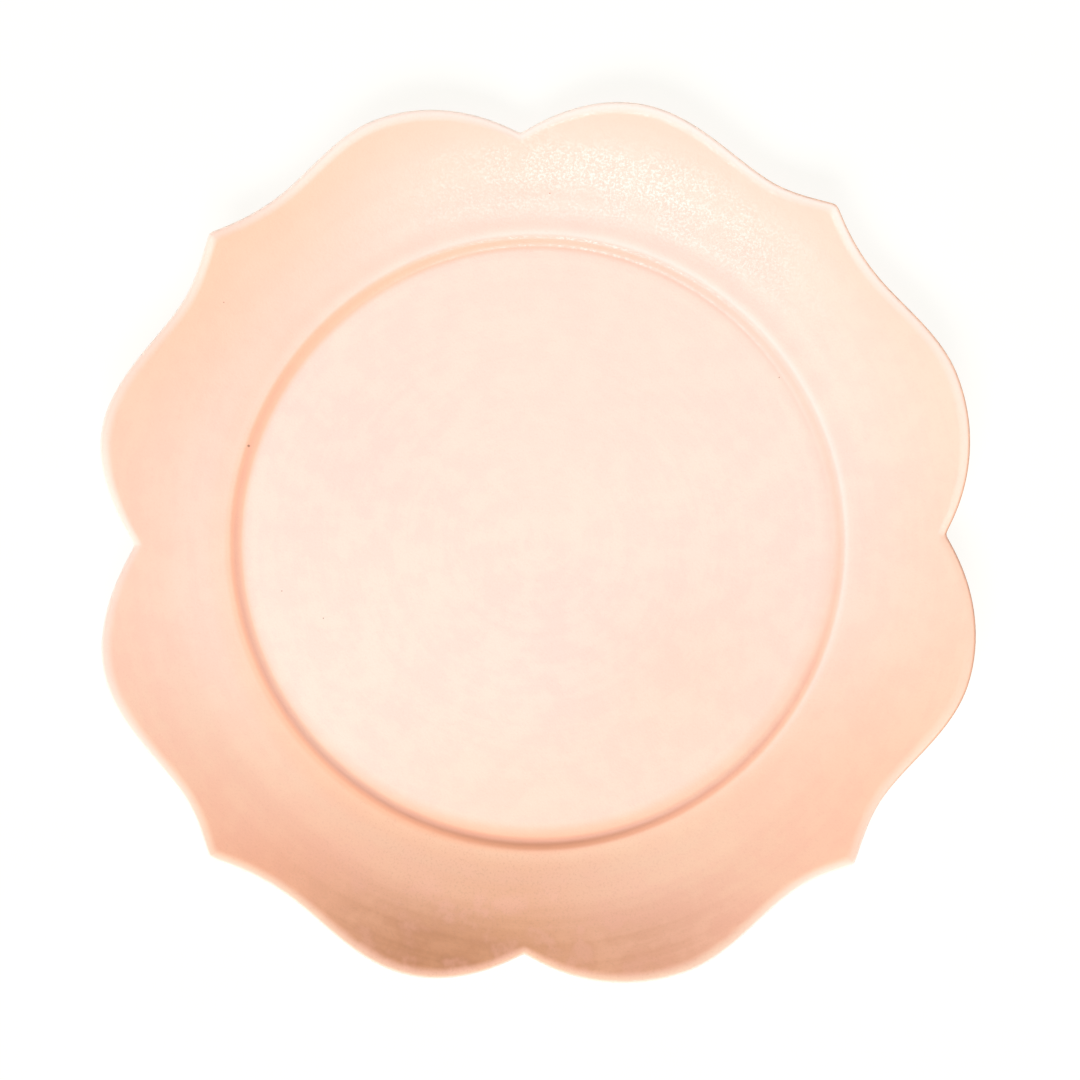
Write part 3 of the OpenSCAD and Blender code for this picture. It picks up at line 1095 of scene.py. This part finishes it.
# %% Turn the patch on the base
PATCH_PARTS = {"top": 4, "roll": 6, "face": 10}


def patch_place(size, row, reach, direction):
    """Place and masks of one row of the patch, from its middle on the clay round to its face."""
    thickness, base = size("Glaze thickness"), size("Base level")
    values = {"Vector": direction, "Scale": 4.0, "Detail": 3.0, "W": 3.0}
    wander = direction.node("ShaderNodeTexNoise", {"noise_dimensions": "4D"}, values)
    edge_r = size("Foot radius") - size("Foot width") - size("Sponged line") - size("Sponge wander") * wander
    across = {part: share_of(row, part, PATCH_PARTS) for part in PATCH_PARTS}
    roll = across["roll"] * QUARTER
    rolled_r = edge_r - (1.0 - roll.apply("COSINE")) * ROLL_WIDTH * MM
    places = [
        vector(edge_r * across["top"], 0.0, base),
        vector(rolled_r, 0.0, base - thickness * roll.apply("SINE")),
        vector((edge_r - ROLL_WIDTH * MM) * (1.0 - across["face"]), 0.0, base - thickness),
    ]
    return pick(row, list(zip(ends_of(PATCH_PARTS), places))), {"back": row * 0.0 + 1.0}


patch_tree = turned_tree("turn the patch on the base", sum(PATCH_PARTS.values()), patch_place)
base_patch = turn_piece("glazed_base_patch", patch_tree, SIZES, glaze_finish)

# %% [markdown]
# ## What rides on what
#
# Nothing on a plate moves, so each piece rides on the one body, and stands for its solid.

# %% Tie the pieces to the frame
for piece, node, slot in (
    (glaze_coat, "glaze_coat", "peach_glaze"),
    (clay_body, "clay_body", "fired_clay"),
    (base_patch, "base_glaze", "peach_glaze"),
):
    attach(piece, "root")
    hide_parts(node)
    print(piece.name, "stands for", node)

# %% [markdown]
# ## The paper
#
# The plate lies on a wide sheet of white paper, which bleaches out in the picture. The lamp alone could
# make it so white, but then the glaze would bleach too. So the sheet is rather dark and glows a little by
# itself, as paper on a light table does.

# %% White paper
SHEET_HALF = 3.0
SHEET_SHADES = ((0.13, 0.13, 0.12, 1.0), (0.15, 0.15, 0.14, 1.0))
SHEET_GLOW = {"Emission Color": (1.0, 0.998, 0.95, 1.0), "Emission Strength": 0.895}

finish, wire = new_finish("white_paper")
place = wire.node("ShaderNodeTexCoord", out="Object")
tooth = noise(place, 1.2 * MM, 2.0) * (0.03 * MM)
shade = layered(wire, SHEET_SHADES[0], [(SHEET_SHADES[1], noise(place, 40 * MM))])
end_in_shader(wire, {"Base Color": shade, "Roughness": 0.9, "Normal": bumped(tooth), **SHEET_GLOW})

mesh = bpy.data.meshes.new("paper")
corners = [(x * SHEET_HALF, y * SHEET_HALF, 0.0) for x, y in ((-1, -1), (1, -1), (1, 1), (-1, 1))]
mesh.from_pydata(corners, [], [(0, 1, 2, 3)])
mesh.materials.append(finish)
new_object("paper", mesh)
print("paper", 2 * SHEET_HALF, "m across")

# %% [markdown]
# ## The lamp
#
# One wide soft lamp stands at the near side, a little to the left. It could stand close, but then the near
# rim would get much more light than the far one. From six metres the light is even. The near rim turns
# away from it and darkens, and the far rim faces it and shows its glints.

# %% Soft lamp
LAMP_TURN = math.radians(256.0) + PHOTO_TURN
LAMP_LEAN = math.radians(31.0)
LAMP_AWAY = 6.0

light = bpy.data.lights.new("soft_lamp", "AREA")
light.shape = "RECTANGLE"
light.size, light.size_y = 2.0, 3.0
light.energy = 423.0
lamp = new_object("soft_lamp", light)
lamp.location = (
    LAMP_AWAY * math.sin(LAMP_LEAN) * math.cos(LAMP_TURN),
    LAMP_AWAY * math.sin(LAMP_LEAN) * math.sin(LAMP_TURN),
    LAMP_AWAY * math.cos(LAMP_LEAN),
)
lamp.rotation_euler = (0.0, LAMP_LEAN, LAMP_TURN)
print("lamp at", tuple(lamp.location))

# %% [markdown]
# ## The room
#
# The room is dim overhead, and bright and warm near the floor, most of all behind the far side. The
# rounded edge of a plate faces sideways, so it is these pale walls that light it. In an even room the far
# edge would show as a grey line on the paper. A world gives the direction of each ray as its Generated
# coordinates, so height and side are read from those.

# %% A pale room
OVERHEAD = (0.8, 0.8, 0.8, 1.0)
WARM_WALLS = (0.9, 0.72, 0.6, 1.0)
# How bright the room is overhead, and what the walls and the far wall add to that
GLOWS = {"overhead": 0.22, "walls": 3.2, "far wall": 4.5}

world = bpy.data.worlds.new("pale_room")
world.use_nodes = True
world.node_tree.nodes.clear()
room = Wire(world.node_tree)
ray = room.node("ShaderNodeSeparateXYZ", None, {0: room.node("ShaderNodeTexCoord", out="Generated")})
low = ray.also("Z").rise(0.16, 0.04)
far = ray.also("Y").rise(0.1, 0.9)
strength = GLOWS["overhead"] + low * (GLOWS["walls"] + far * GLOWS["far wall"])
values = {"Color": layered(room, OVERHEAD, [(WARM_WALLS, low)]), "Strength": strength}
room.node("ShaderNodeOutputWorld", None, {0: room.node("ShaderNodeBackground", None, values)})
bpy.context.scene.world = world
print("room with glows", GLOWS)

# %% [markdown]
# ## The exposure
#
# The view transform is the plain one, so colours stay as the finish gives them. The camera that took the
# photograph lifted its darker tones and held back its brightest. A curve over all three colours does the
# same, which is simpler than to bend every colour of the finish.

# %% Exposure and tones
# Brightness as it comes, and as it is shown
TONES = [(0.15, 0.19), (0.3, 0.345), (0.45, 0.485), (0.6, 0.645), (0.75, 0.785), (0.9, 0.915)]
WHITEST = (1.0, 0.985)

view = bpy.context.scene.view_settings
view.view_transform = "Standard"
view.look = "None"
view.exposure = 0.0
view.use_curve_mapping = True
view.curve_mapping.extend = "EXTRAPOLATED"
tone = view.curve_mapping.curves[3]
for dark, shown in TONES:
    tone.points.new(dark, shown)
tone.points[len(tone.points) - 1].location = WHITEST
view.curve_mapping.update()
print("tones bent at", len(tone.points), "points")
